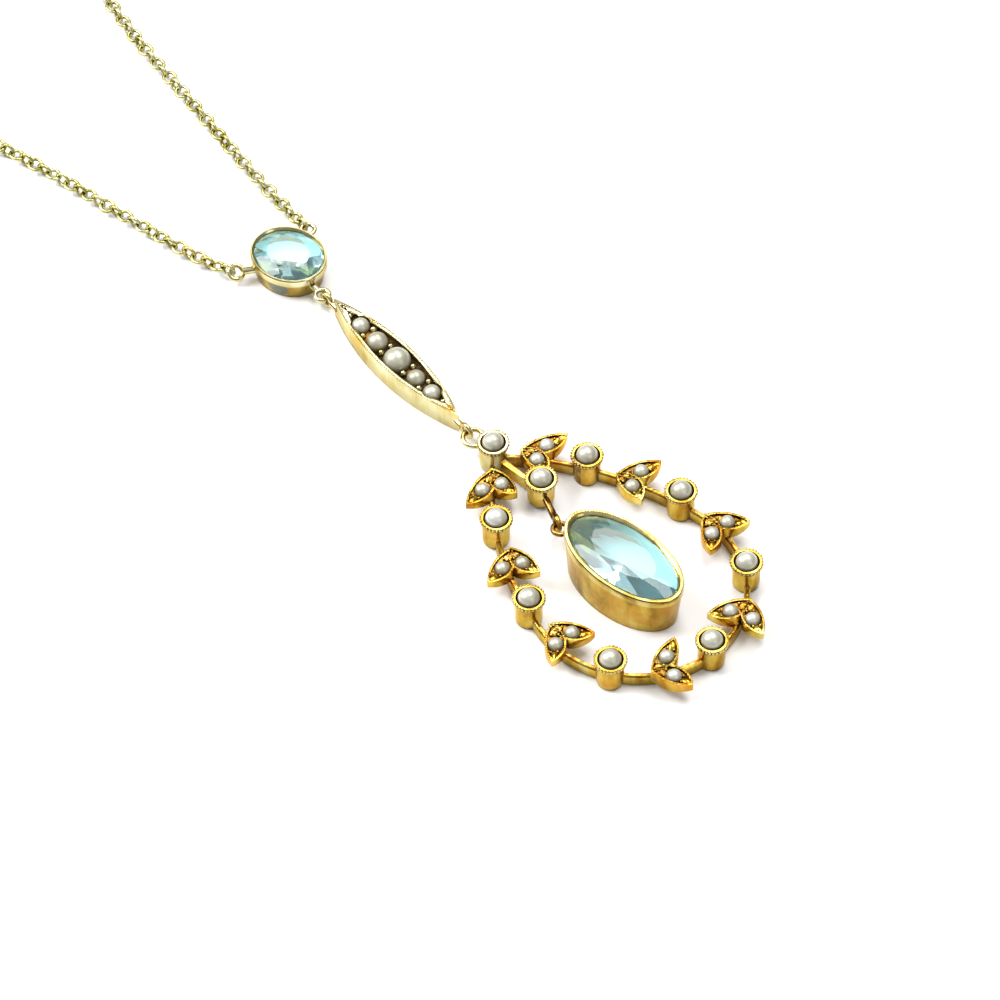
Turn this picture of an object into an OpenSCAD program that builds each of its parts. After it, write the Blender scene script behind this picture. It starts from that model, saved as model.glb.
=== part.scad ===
/* [Wreath] */
// Length of the wreath, from the middle of the top collet to the middle of the bottom one
wreath_l = 26.6; // [24:0.1:32]
// Radius of the round lower part of the wreath
wreath_r = 8.9; // [8:0.1:11]
// How far above the widest line the round part ends and the side arcs begin, in degrees
wreath_turn = 10; // [4:1:16]
// Width of the wire that the wreath is bent from
wire_w = 0.5; // [0.35:0.05:0.8]
// Height of that wire
wire_h = 1.15; // [0.8:0.05:1.4]

/* [Pearl collets] */
// Diameter of a wreath pearl
pearl_d = 1.85; // [1.4:0.05:2.4]
// Height of a collet
collet_h = 2.9; // [2.5:0.1:3.6]
// Gold around the pearl at the rim
collet_wall = 0.4; // [0.3:0.05:0.6]
// How much the collet narrows from its rim to its foot
collet_taper = 0.28; // [0.2:0.02:0.4]
// Height of the thicker band under the rim
collet_band = 0.45; // [0.3:0.05:0.6]
// Depth of a pearl's middle under its rim
pearl_sink = 0.15; // [0.05:0.05:0.3]
// Middle of the inner collet, measured down from the middle of the top one
inner_drop = 5.4; // [4.8:0.1:6.2]
// How far the inner collet stands to the right
inner_shift = 0.5; // [0:0.05:0.6]
// Height of the inner collet's foot over the table
inner_lift = 0.25; // [0.1:0.05:0.5]

/* [Leaves] */
// Length of a leaf from the fork of its pair to its tip
leaf_l = 3.8; // [3.4:0.1:4.4]
// Diameter of a leaf pearl
leaf_pearl_d = 1.3; // [1:0.05:1.5]
// Gold beside the pearl of a leaf
leaf_wall = 0.22; // [0.15:0.01:0.3]
// How far the middle of a leaf bends toward the other leaf of its pair
leaf_bow = 0.33; // [0.2:0.01:0.45]
// Height of a leaf's upper face over the table
leaf_top = 2.3; // [2:0.05:2.8]
// Depth of the tray that is cut into a leaf
leaf_tray = 0.32; // [0.2:0.02:0.5]
// Width of the border around that tray
leaf_border = 0.16; // [0.1:0.01:0.25]

/* [Navette bar] */
// Diameter of the middle pearl of the bar
bar_pearl_d = 2.4; // [1.8:0.05:2.8]
// Gold beside the middle pearl
bar_wall = 0.33; // [0.25:0.01:0.5]
// Gap between two pearls of the bar
bar_gap = 0.46; // [0.3:0.02:0.7]
// Gold from the last pearl to the point of the bar
bar_tip = 2.7; // [2.2:0.05:3.2]
// Height of the bar
bar_h = 2.15; // [1.7:0.05:2.8]
// Depth of the tray in the bar
bar_tray = 0.5; // [0.3:0.05:0.8]
// Width of the border around that tray
bar_border = 0.3; // [0.2:0.02:0.36]

/* [Top setting] */
// Half length of the top setting's rim
top_a = 3.4; // [3.1:0.05:4]
// Half width of that rim
top_b = 2.95; // [2.7:0.05:3.5]
// Height of the top setting
top_h = 2.4; // [2.1:0.05:3]
// Turn of its long axis to the left of the necklace's line, in degrees
top_turn = 15; // [0:1:20]
// Angle of the two chain rings from the necklace's line
fork_turn = 62; // [54:1:68]
// Distance of the left chain ring's middle from the wall
fork_reach = 1.4; // [1.1:0.05:1.6]

/* [Oval drop] */
// Half length of the oval rim
oval_a = 5.95; // [5:0.05:6.5]
// Half width of the oval rim
oval_b = 3.2; // [2.8:0.05:3.8]
// Height of the oval setting
oval_h = 4.4; // [3.8:0.1:5]
// Angle at which the drop lies to the wreath's own line
oval_turn = 4.5; // [2:0.5:6]
// Turn of the inner collet's ring to the left of straight down, in degrees
hook_turn = 20.5; // [12:0.5:28]

/* [Stones] */
// Width of the gold rim over the oval stone's edge
rim_w = 0.42; // [0.36:0.02:0.6]
// Width of the gold rim over the top stone's edge
top_rim_w = 0.2; // [0.18:0.01:0.3]
// Least thickness of a setting's wall at its foot
foot_wall = 0.22; // [0.18:0.02:0.3]
// Width of the lip and of the ledge that hold a stone's edge
lip_w = 0.12; // [0.08:0.01:0.16]
// Height of a stone's crown
crown_h = 0.62; // [0.45:0.02:0.8]
// Thickness of a stone's girdle
girdle_h = 0.14; // [0.08:0.02:0.2]
// Depth of the top stone under its girdle
top_deep = 1.35; // [1:0.05:1.45]
// Depth of the oval stone under its girdle
oval_deep = 1.7; // [1.2:0.05:2.2]

/* [Rings] */
// Outer diameter of a soldered ring
ring_od = 1.6; // [1.54:0.02:1.9]
// Wire of a soldered ring
ring_wire = 0.42; // [0.34:0.02:0.44]
// Distance of a ring's middle from the metal that it is soldered to
ring_reach = 1.12; // [1:0.02:1.3]
// Outer diameter of the ring on the top collet
collet_ring_od = 2.2; // [2:0.05:2.4]
// Distance of the bar's rings from its points
bar_reach = 0.97; // [0.85:0.01:1.1]
// Distance of the inner collet's ring from the collet, on a longer stalk
drop_reach = 2.35; // [1.9:0.05:2.6]
// Play of two rings that hang in each other
ring_play = 0.1; // [0.06:0.02:0.16]

/* [Chain] */
// Height and width of the chain where it lies
chain_d = 1.4; // [1.1:0.05:1.8]
// Outer diameter of the clasp ring
clasp_d = 5.6; // [4.6:0.1:7]
// Wire of the clasp ring
clasp_wire = 0.6; // [0.5:0.05:0.8]
// Height at which the clasp ring lies on the end links that pass under it
clasp_lift = 0.32; // [0.2:0.02:0.4]
// Gap between the chain's ends and the rings that they meet
chain_gap = 0.15; // [0.1:0.01:0.25]

/* [Lie] */
// Lean of the bar and the top setting to the right of the wreath's line, in degrees
sway = 1.1; // [0:0.1:3]

/* [Hidden] */
WREATH_PEARLS = 8;
LEAF_PEARLS = 16;
BAR_PEARLS = 5;
$fn = 48;
gold = "#d9a83c";
pale_gold = "#e2cf86";
pearl_white = "#ece8dc";
aqua = "#bfeaf0";
// Clearance around what is seated
fit = 0.03;
// Extra length of a cut past the face that it leaves
past = 0.5;
// Height of the wire's underside over the table
wire_rise = 0.04;
// Lap of the wreath's lower arc into its side arcs in degrees, and how much slimmer it is for that
wire_lap = 2;
wire_slim = 0.01;
// Blunt upper edge of the wire, as a share of its width
wire_blunt = 0.28;
// Profile of a collet: how far it stands out over its foot and under its band, the height of the
// foot, and the chamfer of the rim
collet_flare = 0.08;
collet_swell = 0.13;
collet_foot = 0.35;
collet_chamfer = 0.06;
// Heights of the wreath's two rings, as shares of a collet's height
ring_at = 0.37;
drop_ring_at = 0.48;
// Thickness of a ring's stalk, as a share of its wire
stalk_share = 1.45;
// How far the foot of each stone setting stands in from its rim, at its sides and at its ends
drop_foot_in = [0.1, 0.5];
top_foot_in = [0.35, 0.35];
// Slope of the rim inside a collet, as how much it widens over the cut's extra length
cup_flare = 0.4;
// Height of the band at a setting's rim, and the step under it: how far in, and how high
band_h = 0.74;
band_step = 0.1;
band_slope = 0.06;
// Chamfer of a setting's outer edge
rim_chamfer_w = 0.08;
rim_chamfer_h = 0.1;
// Edge of the lip over a stone: its thickness, its slope and its clearance
lip_edge = 0.06;
lip_slope = 0.04;
lip_play = 0.02;
// Width of a stone's table and place of its star points, as shares of its half width
table_share = 0.6;
star_share = 0.8;
// Place of the corners half way down a stone's underside
low_share = 0.82;
// Facets around a stone's table
FACETS = 12;
// How much of a stone's crown lies under the top of its rim, as a share of its height
crown_sunk = 0.55;
// Turn of the left chain ring about its stalk, in degrees
ring_twist = 30;

// Collets along half of the outline, as shares of its length
collet_at = [0, 0.229, 0.477, 0.746, 1];
// Leaf pairs along half of the outline: [share, inset by leaf width, outer turn, inner turn,
// outer length, inner length], the lengths as shares of the leaf length
leaf_pairs = [
  [0.069, 0.05, 30, 42, 1.12, 0.87],
  [0.312, 0.33, 44, 31, 1.06, 0.92],
  [0.559, 0.27, 33, 43, 1, 1],
  [0.842, -0.23, 30, 54, 0.96, 1.03]
];
// Place of a leaf's pearl, as a share of the leaf's length
leaf_pearl_at = 0.52;
// How far the outer and the inner leaf of a pair reach back past their fork, as shares of the leaf length
leaf_back = [0.026, 0.047];
// Depth to which a leaf sinks into the wire, and the rise of its underside toward the tip in degrees
leaf_sink = 0.08;
leaf_rise = 16;
// Where that rise begins, as a share of the leaf's length
leaf_keel = 0.55;
// Pearls of the bar from the wreath's end up, as shares of the middle one
bar_pearls = [0.67, 0.67, 1, 0.78, 0.67];

// Route of the chain's left strand after its ring, up to the clasp
left_route = [
  [-4.3, 31.4, 0.8], [-5.3, 35.2, 0.7], [-6.7, 41.5, 0.7], [-9.5, 53.2, 0.7], [-17, 76, 0.7],
  [-30, 102, 0.7], [-42, 132, 0.7], [-43, 164, 0.7], [-30, 190, 0.7], [-12, 202, 0.7]
];
// Route of the chain's right strand after its ring, up to the clasp
right_route = [
  [4.4, 31.8, 0.8], [4.8, 36.4, 0.7], [5.8, 45, 0.7], [8, 60.4, 0.7], [14, 82, 0.7],
  [27, 106, 0.7], [40, 134, 0.7], [42, 165, 0.7], [30, 190, 0.7], [12, 202, 0.7]
];
// Where the clasp lies
clasp_at = [0, 205.4];
// Sections of a strand between two points of its route
chain_steps = 3;
chain_sides = 8;

// Derived sizes
collet_r = pearl_d / 2 + collet_wall;
foot_r = collet_r - collet_taper;
circle_y = wreath_r - wreath_l;
arc_k = (circle_y * circle_y - wreath_r * wreath_r) / (2 * (wreath_r + circle_y * sin(wreath_turn)));
side_r = wreath_r + arc_k;
side_x = -arc_k * cos(wreath_turn);
side_y = circle_y - arc_k * sin(wreath_turn);
side_from = atan2(-side_y, -side_x);
side_len = side_r * (side_from - wreath_turn) * PI / 180;
low_len = wreath_r * (wreath_turn + 90) * PI / 180;
half_len = side_len + low_len;
leaf_w = leaf_pearl_d + 2 * leaf_wall;
leaf_low = wire_h - leaf_sink;
ring_z = collet_h * ring_at;
drop_ring_z = collet_h * drop_ring_at;
link_step = link_apart(ring_od, ring_od);
bar_low = collet_r + ring_reach + link_apart(collet_ring_od, ring_od) + bar_reach;
bar_row = bar_pearl_d * sum(bar_pearls) + bar_gap * (BAR_PEARLS - 1);
bar_l = bar_row + 2 * bar_tip;
bar_w = bar_pearl_d + 2 * bar_wall;
bar_inner = 1 - 2 * bar_border / bar_w;
PAIRS = len(leaf_pairs);
BOTTOM_PEARL = WREATH_PEARLS / 2 + 1;
top_y = bar_low + bar_l + bar_reach + link_step + ring_reach + top_edge(180);
inner_at = [inner_shift, -inner_drop];
// Middle of the drop's ring, which hangs straight on from the inner collet's ring
drop_at = inner_at - (collet_r + drop_reach + link_step) * [sin(hook_turn), cos(hook_turn)];
oval_hang = ring_reach + oval_a;

// Distance between the middles of two rings that hang in each other
function link_apart(od, other) = (od + other) / 2 - 2 * ring_wire - ring_play;

// Sum of a list
function sum(list, i = 0) = i < len(list) ? list[i] + sum(list, i + 1) : 0;

// Point and heading at a share of the right half of the wreath's outline
function way(share) = let (s = share * half_len)
  s < side_len ? side_way(side_from - s / side_r * 180 / PI)
  : low_way(wreath_turn - (s - side_len) / wreath_r * 180 / PI);
function side_way(a) = [side_x + side_r * cos(a), side_y + side_r * sin(a), a - 90];
function low_way(a) = [wreath_r * cos(a), circle_y + wreath_r * sin(a), a - 90];

// Base of a leaf, a little behind the fork of its pair, and the place of its pearl
function leaf_base(k, outer) = let (
  w = way(leaf_pairs[k][0]), in = leaf_pairs[k][1] * leaf_w,
  h = leaf_heading(k, outer), back = leaf_l * leaf_back[outer ? 0 : 1]
) [w[0] + in * sin(w[2]) - back * cos(h), w[1] - in * cos(w[2]) - back * sin(h)];
function leaf_heading(k, outer) = let (turn = outer ? leaf_pairs[k][2] : -leaf_pairs[k][3])
  way(leaf_pairs[k][0])[2] + turn;
function leaf_len(k, outer) = leaf_l * leaf_pairs[k][outer ? 4 : 5];
function leaf_side(outer) = outer ? -leaf_bow : leaf_bow;
function leaf_spot(k, outer) = let (
  h = leaf_heading(k, outer), along = leaf_pearl_at * leaf_len(k, outer), aside = leaf_side(outer)
) leaf_base(k, outer) + [along * cos(h) - aside * sin(h), along * sin(h) + aside * cos(h)];

// Middle of a bar pearl along the bar, from the wreath's end
function bar_spot(i) = bar_low + bar_tip + bar_pearl_d * (sum(bar_pearls) - sum(bar_pearls, i))
  + bar_gap * i + bar_pearl_d * bar_pearls[i] / 2;

// Distance of the top setting's edge from its middle, at an angle from the necklace's line
function top_edge(a) = let (t = a + top_turn) 1 / sqrt(pow(cos(t) / top_a, 2) + pow(sin(t) / top_b, 2));
function swing(p) = [p[0] * cos(sway) + p[1] * sin(sway), p[1] * cos(sway) - p[0] * sin(sway), p[2]];
function fork_out(side) = side < 0 ? fork_reach : ring_reach;
function fork_ring(side) = let (a = side * fork_turn, d = top_edge(a) + fork_out(side))
  swing([d * sin(a), top_y + d * cos(a), ring_z]);

// Points of an ellipse, and of a star of rays on it
function ellipse(a, b, n) = [for (i = [0:n - 1]) [a * cos(360 * i / n), b * sin(360 * i / n)]];
function ray_ring(a, b, share, n, start, z) =
  [for (i = [0:n - 1]) let (t = 360 * (i + start) / n) [a * share * cos(t), b * share * sin(t), z]];

// A strand's route, as a smooth curve through its points
function curve(p, t) = 0.5 * (2 * p[1] + (p[2] - p[0]) * t
  + (2 * p[0] - 5 * p[1] + 4 * p[2] - p[3]) * t * t + (3 * p[1] - p[0] - 3 * p[2] + p[3]) * t * t * t);
function near(route, i) = [for (j = [i - 1:i + 2]) route[min(max(j, 0), len(route) - 1)]];
function smooth(route) = concat(
  [for (i = [0:len(route) - 2]) for (s = [0:chain_steps - 1]) curve(near(route, i), s / chain_steps)],
  [route[len(route) - 1]]
);
function unit(v) = v / norm(v);
function toward(path, i) = unit(path[min(i + 1, len(path) - 1)] - path[max(i - 1, 0)]);

// Pointed oval between two arcs, along X from its middle
module pointed_oval(l, w) {
  r = (l * l + w * w) / (4 * w);
  intersection() {
    translate([0, w / 2 - r]) circle(r, $fn = 180);
    translate([0, r - w / 2]) circle(r, $fn = 180);
  }
}

// A ring with its stalk, which points to +X from the metal at the origin
module flat_ring(reach, od = ring_od) {
  r = (od - ring_wire) / 2;
  translate([reach, 0, 0]) rotate_extrude() translate([r, 0]) circle(d = ring_wire, $fn = 24);
  translate([-ring_wire, 0, 0]) rotate([0, 90, 0])
    cylinder(d = ring_wire * stalk_share, h = reach - r + ring_wire);
}

module upright_ring(reach) {
  rotate([90, 0, 0]) flat_ring(reach);
}

module collet(h) {
  rotate_extrude() polygon([
    [0, 0], [foot_r, 0], [foot_r + collet_flare, collet_foot], [foot_r + collet_swell, h - collet_band],
    [collet_r, h - collet_band * 0.7], [collet_r, h - collet_band * 0.2], [collet_r - collet_chamfer, h],
    [0, h]
  ]);
}

module cup(d, h, flare = 0) {
  r = d / 2 + fit;
  translate([0, 0, h]) sphere(r);
  translate([0, 0, h]) cylinder(r1 = r, r2 = r + flare, h = past);
}

// Section of the wreath's wire, its upper edge blunt, smaller all around by slim
module wire_section(r, slim) {
  half = wire_w / 2 - slim;
  top = wire_h + wire_rise - slim;
  low = wire_rise + slim;
  edge = wire_w * wire_blunt;
  translate([r, 0]) polygon([
    [-half, low], [half, low], [half, top - edge],
    [half - edge, top], [edge - half, top], [-half, top - edge]
  ]);
}

// Right half of the wreath's wire
module half_wire() {
  translate([side_x, side_y, 0]) rotate([0, 0, wreath_turn])
    rotate_extrude(angle = side_from - wreath_turn, $fn = 240) wire_section(side_r, 0);
  translate([0, circle_y, 0]) rotate([0, 0, -90])
    rotate_extrude(angle = wreath_turn + 90 + wire_lap, $fn = 240) wire_section(wreath_r, wire_slim);
}

// Outline of a leaf from its fork along X, between two arcs, bent to one side and smaller by inset
module leaf_outline(l, bow, inset) {
  near_side = leaf_w / 2 + bow;
  far_side = leaf_w / 2 - bow;
  near_r = (l * l / 4 + near_side * near_side) / (2 * near_side);
  far_r = (l * l / 4 + far_side * far_side) / (2 * far_side);
  intersection() {
    translate([l / 2, near_side - near_r]) circle(near_r - inset, $fn = 120);
    translate([l / 2, far_r - far_side]) circle(far_r - inset, $fn = 120);
  }
}

// Places a leaf or its tray, with +X from the fork to the tip
module at_leaf(k, outer, z) {
  base = leaf_base(k, outer);
  translate([base[0], base[1], z]) rotate([0, 0, leaf_heading(k, outer)]) children();
}

module leaf(k, outer) {
  l = leaf_len(k, outer);
  at_leaf(k, outer, leaf_low) difference() {
    linear_extrude(leaf_top - leaf_low) leaf_outline(l, leaf_side(outer), 0);
    translate([l * leaf_keel, 0, 0]) rotate([0, -leaf_rise, 0])
      translate([0, -l, -l]) cube([l, 2 * l, l]);
  }
}

module leaf_cuts(k, outer) {
  at_leaf(k, outer, leaf_top - leaf_tray)
    linear_extrude(leaf_tray + past) leaf_outline(leaf_len(k, outer), leaf_side(outer), leaf_border);
  spot = leaf_spot(k, outer);
  translate([spot[0], spot[1], 0]) cup(leaf_pearl_d, leaf_top - leaf_tray);
}

// Places what stands at a share of the right half of the wreath's outline
module on_way(share) {
  spot = way(share);
  translate([spot[0], spot[1], 0]) children();
}

module half_bodies() {
  half_wire();
  for (i = [1:BOTTOM_PEARL - 2]) on_way(collet_at[i]) collet(collet_h);
  for (k = [0:PAIRS - 1]) for (outer = [true, false]) leaf(k, outer);
}

module half_cuts() {
  for (i = [1:BOTTOM_PEARL - 2]) on_way(collet_at[i]) cup(pearl_d, collet_h - pearl_sink, cup_flare);
  for (k = [0:PAIRS - 1]) for (outer = [true, false]) leaf_cuts(k, outer);
}

module wreath() {
  color(gold) difference() {
    union() {
      half_bodies();
      mirror([1, 0, 0]) half_bodies();
      collet(collet_h);
      translate([0, -wreath_l, 0]) collet(collet_h);
      translate([0, 0, inner_lift + wire_h / 2]) rotate([0, 0, atan2(inner_at[1], inner_at[0])])
        translate([0, -wire_w / 2, -wire_h / 2]) cube([norm(inner_at), wire_w, wire_h]);
      translate([inner_at[0], inner_at[1], inner_lift]) collet(collet_h - inner_lift);
      translate([0, collet_r, ring_z]) rotate([0, 0, 90]) flat_ring(ring_reach, collet_ring_od);
      translate([inner_at[0], inner_at[1], drop_ring_z]) rotate([0, 0, -90 - hook_turn])
        translate([collet_r, 0, 0]) upright_ring(drop_reach);
    }
    half_cuts();
    mirror([1, 0, 0]) half_cuts();
    cup(pearl_d, collet_h - pearl_sink, cup_flare);
    translate([0, -wreath_l, 0]) cup(pearl_d, collet_h - pearl_sink, cup_flare);
    translate([inner_at[0], inner_at[1], 0]) cup(pearl_d, collet_h - pearl_sink, cup_flare);
  }
}

module wreath_pearl(i) {
  side = i > BOTTOM_PEARL ? -1 : 1;
  w = way(collet_at[i > BOTTOM_PEARL ? WREATH_PEARLS + 1 - i : i - 1]);
  color(pearl_white) translate([side * w[0], w[1], collet_h - pearl_sink]) sphere(d = pearl_d);
}

module inner_pearl() {
  color(pearl_white) translate([inner_at[0], inner_at[1], collet_h - pearl_sink]) sphere(d = pearl_d);
}

module leaf_pearl(i) {
  pair = floor((i - 1) / 2);
  side = pair < PAIRS ? 1 : -1;
  p = leaf_spot(pair < PAIRS ? pair : 2 * PAIRS - 1 - pair, i % 2 == 1);
  color(pearl_white) translate([side * p[0], p[1], leaf_top - leaf_tray]) sphere(d = leaf_pearl_d);
}

// Places the drop with its ring in the middle, and -Y down the drop
module on_drop() {
  translate([drop_at[0], drop_at[1], 0]) rotate([0, 0, oval_turn]) children();
}

// Wall of a stone's setting, as [inset at the sides, inset at the ends, height], for a rim of width
// rim around a stone of half width b and depth d
function setting_wall(h, foot, rim, b, d) = let (
  top = girdle_top(h), lip = top + lip_w * crown_h / (b * (1 - table_share)) + lip_play,
  seat = top - girdle_h - lip_w * d / b - fit, bore = rim + lip_w
) [
  [foot[0], foot[1], 0], even(band_step, h - band_h - band_slope), even(0, h - band_h),
  even(0, h - rim_chamfer_h), even(rim_chamfer_w, h), even(rim * 0.7, h), even(bore, lip + lip_edge),
  even(bore, lip), even(rim - fit, lip - lip_slope), even(rim - fit, seat), even(bore, seat),
  [max(bore, foot[0] + foot_wall), max(bore, foot[1] + foot_wall), 0]
];
function even(inset, z) = [inset, inset, z];
function girdle_top(h) = h - crown_h * crown_sunk;

module stone(a, b, h, deep) {
  n = FACETS;
  star_z = crown_h * (1 - star_share * cos(180 / n)) / (1 - table_share);
  low_z = -deep * (1 - low_share * cos(180 / n)) - girdle_h;
  points = concat(
    ray_ring(a, b, table_share, n, 0, crown_h), ray_ring(a, b, star_share, n, 0.5, star_z),
    ray_ring(a, b, 1, 2 * n, 0, 0), ray_ring(a, b, 1, 2 * n, 0, -girdle_h),
    ray_ring(a, b, low_share, n, 0.5, low_z), [[0, 0, -deep - girdle_h]]
  );
  culet = 7 * n;
  faces = concat(
    [[for (i = [n - 1:-1:0]) i]],
    [for (i = [0:n - 1]) [i, (i + 1) % n, n + i]],
    [for (i = [0:n - 1]) [i, n + i, 2 * n + 2 * i, n + (i + n - 1) % n]],
    [for (i = [0:n - 1]) [n + i, 2 * n + 2 * i + 1, 2 * n + 2 * i]],
    [for (i = [0:n - 1]) [n + i, 2 * n + (2 * i + 2) % (2 * n), 2 * n + 2 * i + 1]],
    [for (j = [0:2 * n - 1]) [2 * n + j, 2 * n + (j + 1) % (2 * n), 4 * n + (j + 1) % (2 * n), 4 * n + j]],
    [for (i = [0:n - 1]) [6 * n + i, 4 * n + 2 * i, 4 * n + 2 * i + 1]],
    [for (i = [0:n - 1]) [6 * n + i, 4 * n + 2 * i + 1, 4 * n + (2 * i + 2) % (2 * n)]],
    [for (i = [0:n - 1]) [culet, 6 * n + (i + n - 1) % n, 4 * n + 2 * i, 6 * n + i]]
  );
  color(aqua, 0.6) translate([0, 0, girdle_top(h)]) polyhedron(points, faces);
}

// Oval setting with straight walls, its half width b along X and its half length a along Y
module oval_wall(a, b, h, deep, rim, foot) {
  n = 72;
  wall = setting_wall(h, foot, rim, b - rim, deep);
  m = len(wall);
  polyhedron(
    [for (w = wall) for (p = ellipse(b - w[0], a - w[1], n)) [p[0], p[1], w[2]]],
    [for (j = [0:m - 1]) for (i = [0:n - 1])
      [j * n + i, (j + 1) % m * n + i, (j + 1) % m * n + (i + 1) % n, j * n + (i + 1) % n]]
  );
}

module drop_setting() {
  color(gold) on_drop() {
    translate([0, -oval_hang, 0]) oval_wall(oval_a, oval_b, oval_h, oval_deep, rim_w, drop_foot_in);
    translate([0, oval_a - oval_hang, drop_ring_z]) rotate([0, 0, 90]) flat_ring(ring_reach);
  }
}

module drop_stone() {
  on_drop() translate([0, -oval_hang, 0]) stone(oval_b - rim_w, oval_a - rim_w, oval_h, oval_deep);
}

// Places the bar and the top setting, with +Y up the necklace
module on_line() {
  rotate([0, 0, -sway]) children();
}

// Places what is centred on the bar, with +X up the necklace
module on_bar(z) {
  on_line() translate([0, bar_low + bar_l / 2, z]) rotate([0, 0, 90]) children();
}

module bar_setting() {
  color(pale_gold) difference() {
    union() {
      on_bar(0) linear_extrude(bar_h) pointed_oval(bar_l, bar_w);
      for (end = [-1, 1])
        on_bar(ring_z) rotate([0, 0, end < 0 ? 180 : 0])
          translate([bar_l / 2, 0, 0]) upright_ring(bar_reach);
    }
    on_bar(bar_h - bar_tray)
      linear_extrude(bar_tray + past) pointed_oval(bar_l * bar_inner, bar_w * bar_inner);
    for (i = [0:BAR_PEARLS - 1])
      on_line() translate([0, bar_spot(i), 0]) cup(bar_pearl_d * bar_pearls[i], bar_h - bar_tray);
  }
}

module bar_pearl(i) {
  color(pearl_white) on_line() translate([0, bar_spot(i - 1), bar_h - bar_tray])
    sphere(d = bar_pearl_d * bar_pearls[i - 1]);
}

module top_setting() {
  color(gold) on_line() translate([0, top_y, 0]) {
    rotate([0, 0, top_turn]) oval_wall(top_a, top_b, top_h, top_deep, top_rim_w, top_foot_in);
    translate([0, -top_edge(180), ring_z]) rotate([0, 0, -90]) flat_ring(ring_reach);
    for (side = [-1, 1])
      rotate([0, 0, 90 - side * fork_turn]) translate([top_edge(side * fork_turn), 0, ring_z])
        rotate([side < 0 ? -ring_twist : 0, 0, 0]) flat_ring(fork_out(side));
  }
}

module top_stone() {
  on_line() translate([0, top_y, 0]) rotate([0, 0, top_turn])
    stone(top_b - top_rim_w, top_a - top_rim_w, top_h, top_deep);
}

// A strand of chain as a closed tube along its route
module strand(side, route) {
  start = fork_ring(side);
  way_out = unit(route[0] - start);
  leave = route[len(route) - 1];
  way_in = unit([leave[0] - clasp_at[0], leave[1] - clasp_at[1]]) * (clasp_d / 2 + chain_gap);
  finish = [clasp_at[0] + way_in[0], clasp_at[1] + way_in[1], chain_d / 2];
  path = smooth(concat([start + way_out * (ring_od / 2 + chain_gap)], route, [finish]));
  n = chain_sides;
  last = len(path) - 1;
  r = chain_d / 2 / cos(180 / n);
  points = [for (i = [0:last]) let (t = toward(path, i), x = unit(cross(t, [0, 0, 1])), z = cross(x, t))
    for (j = [0:n - 1]) let (a = 360 * (j + 0.5) / n) path[i] + r * (x * cos(a) + z * sin(a))];
  faces = concat(
    [[for (j = [0:n - 1]) j]],
    [[for (j = [n - 1:-1:0]) last * n + j]],
    [for (i = [0:last - 1]) for (j = [0:n - 1])
      [i * n + j, (i + 1) * n + j, (i + 1) * n + (j + 1) % n, i * n + (j + 1) % n]]
  );
  color(pale_gold) polyhedron(points, faces);
}

module chain_left() {
  strand(-1, left_route);
}

module chain_right() {
  strand(1, right_route);
}

module clasp() {
  color(pale_gold) translate([clasp_at[0], clasp_at[1], clasp_lift + clasp_wire / 2])
    rotate_extrude($fn = 96) translate([(clasp_d - clasp_wire) / 2, 0]) circle(d = clasp_wire, $fn = 32);
}

wreath();
drop_setting();
drop_stone();
bar_setting();
top_setting();
top_stone();
chain_left();
chain_right();
clasp();
inner_pearl();
for (i = [1:WREATH_PEARLS]) wreath_pearl(i);
for (i = [1:LEAF_PEARLS]) leaf_pearl(i);
for (i = [1:BAR_PEARLS]) bar_pearl(i);
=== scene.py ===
import bpy
import math
import random
from mathutils import Matrix, Vector


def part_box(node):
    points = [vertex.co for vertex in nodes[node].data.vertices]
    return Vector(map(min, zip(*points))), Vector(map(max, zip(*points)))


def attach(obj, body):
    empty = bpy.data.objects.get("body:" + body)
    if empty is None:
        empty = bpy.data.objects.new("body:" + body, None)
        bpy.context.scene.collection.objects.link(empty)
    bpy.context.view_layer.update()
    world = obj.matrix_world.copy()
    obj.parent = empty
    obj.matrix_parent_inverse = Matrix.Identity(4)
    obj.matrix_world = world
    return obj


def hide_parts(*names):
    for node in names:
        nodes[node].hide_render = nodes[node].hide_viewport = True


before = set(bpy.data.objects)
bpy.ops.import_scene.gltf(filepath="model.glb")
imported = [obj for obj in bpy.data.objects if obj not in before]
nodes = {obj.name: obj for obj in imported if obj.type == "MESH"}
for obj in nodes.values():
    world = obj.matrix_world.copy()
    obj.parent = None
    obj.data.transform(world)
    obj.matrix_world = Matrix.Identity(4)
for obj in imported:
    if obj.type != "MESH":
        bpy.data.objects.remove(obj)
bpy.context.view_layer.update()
mm = 0.001
print("frame loaded")

# camera, the same stance as the photograph's
photoCamera = {
    "lens": 200, "distance": 455.3, "elevation": 52.52, "azimuth": -41.13, "target": (-2.05, -3.22, 0),
}
turnAway = math.radians(photoCamera["azimuth"])
toRight = Vector((math.cos(turnAway), math.sin(turnAway), 0))
toBack = Vector((-math.sin(turnAway), math.cos(turnAway), 0))


def placeCamera():
    rise = math.radians(photoCamera["elevation"])
    back = Vector((0, 0, math.sin(rise))) - toBack * math.cos(rise)
    data = bpy.data.cameras.new("photoCamera")
    data.type = "PERSP"
    data.lens = photoCamera["lens"]
    data.sensor_width = 36
    data.clip_start = 0.01
    data.clip_end = 20
    camera = bpy.data.objects.new("photoCamera", data)
    bpy.context.scene.collection.objects.link(camera)
    camera.location = (Vector(photoCamera["target"]) + back * photoCamera["distance"]) * mm
    camera.rotation_euler = back.to_track_quat("Z", "Y").to_euler()
    bpy.context.scene.camera = camera


placeCamera()
bpy.context.scene.view_settings.view_transform = "Standard"  # a product photo's plain white and clear colours
print("camera placed")


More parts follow.
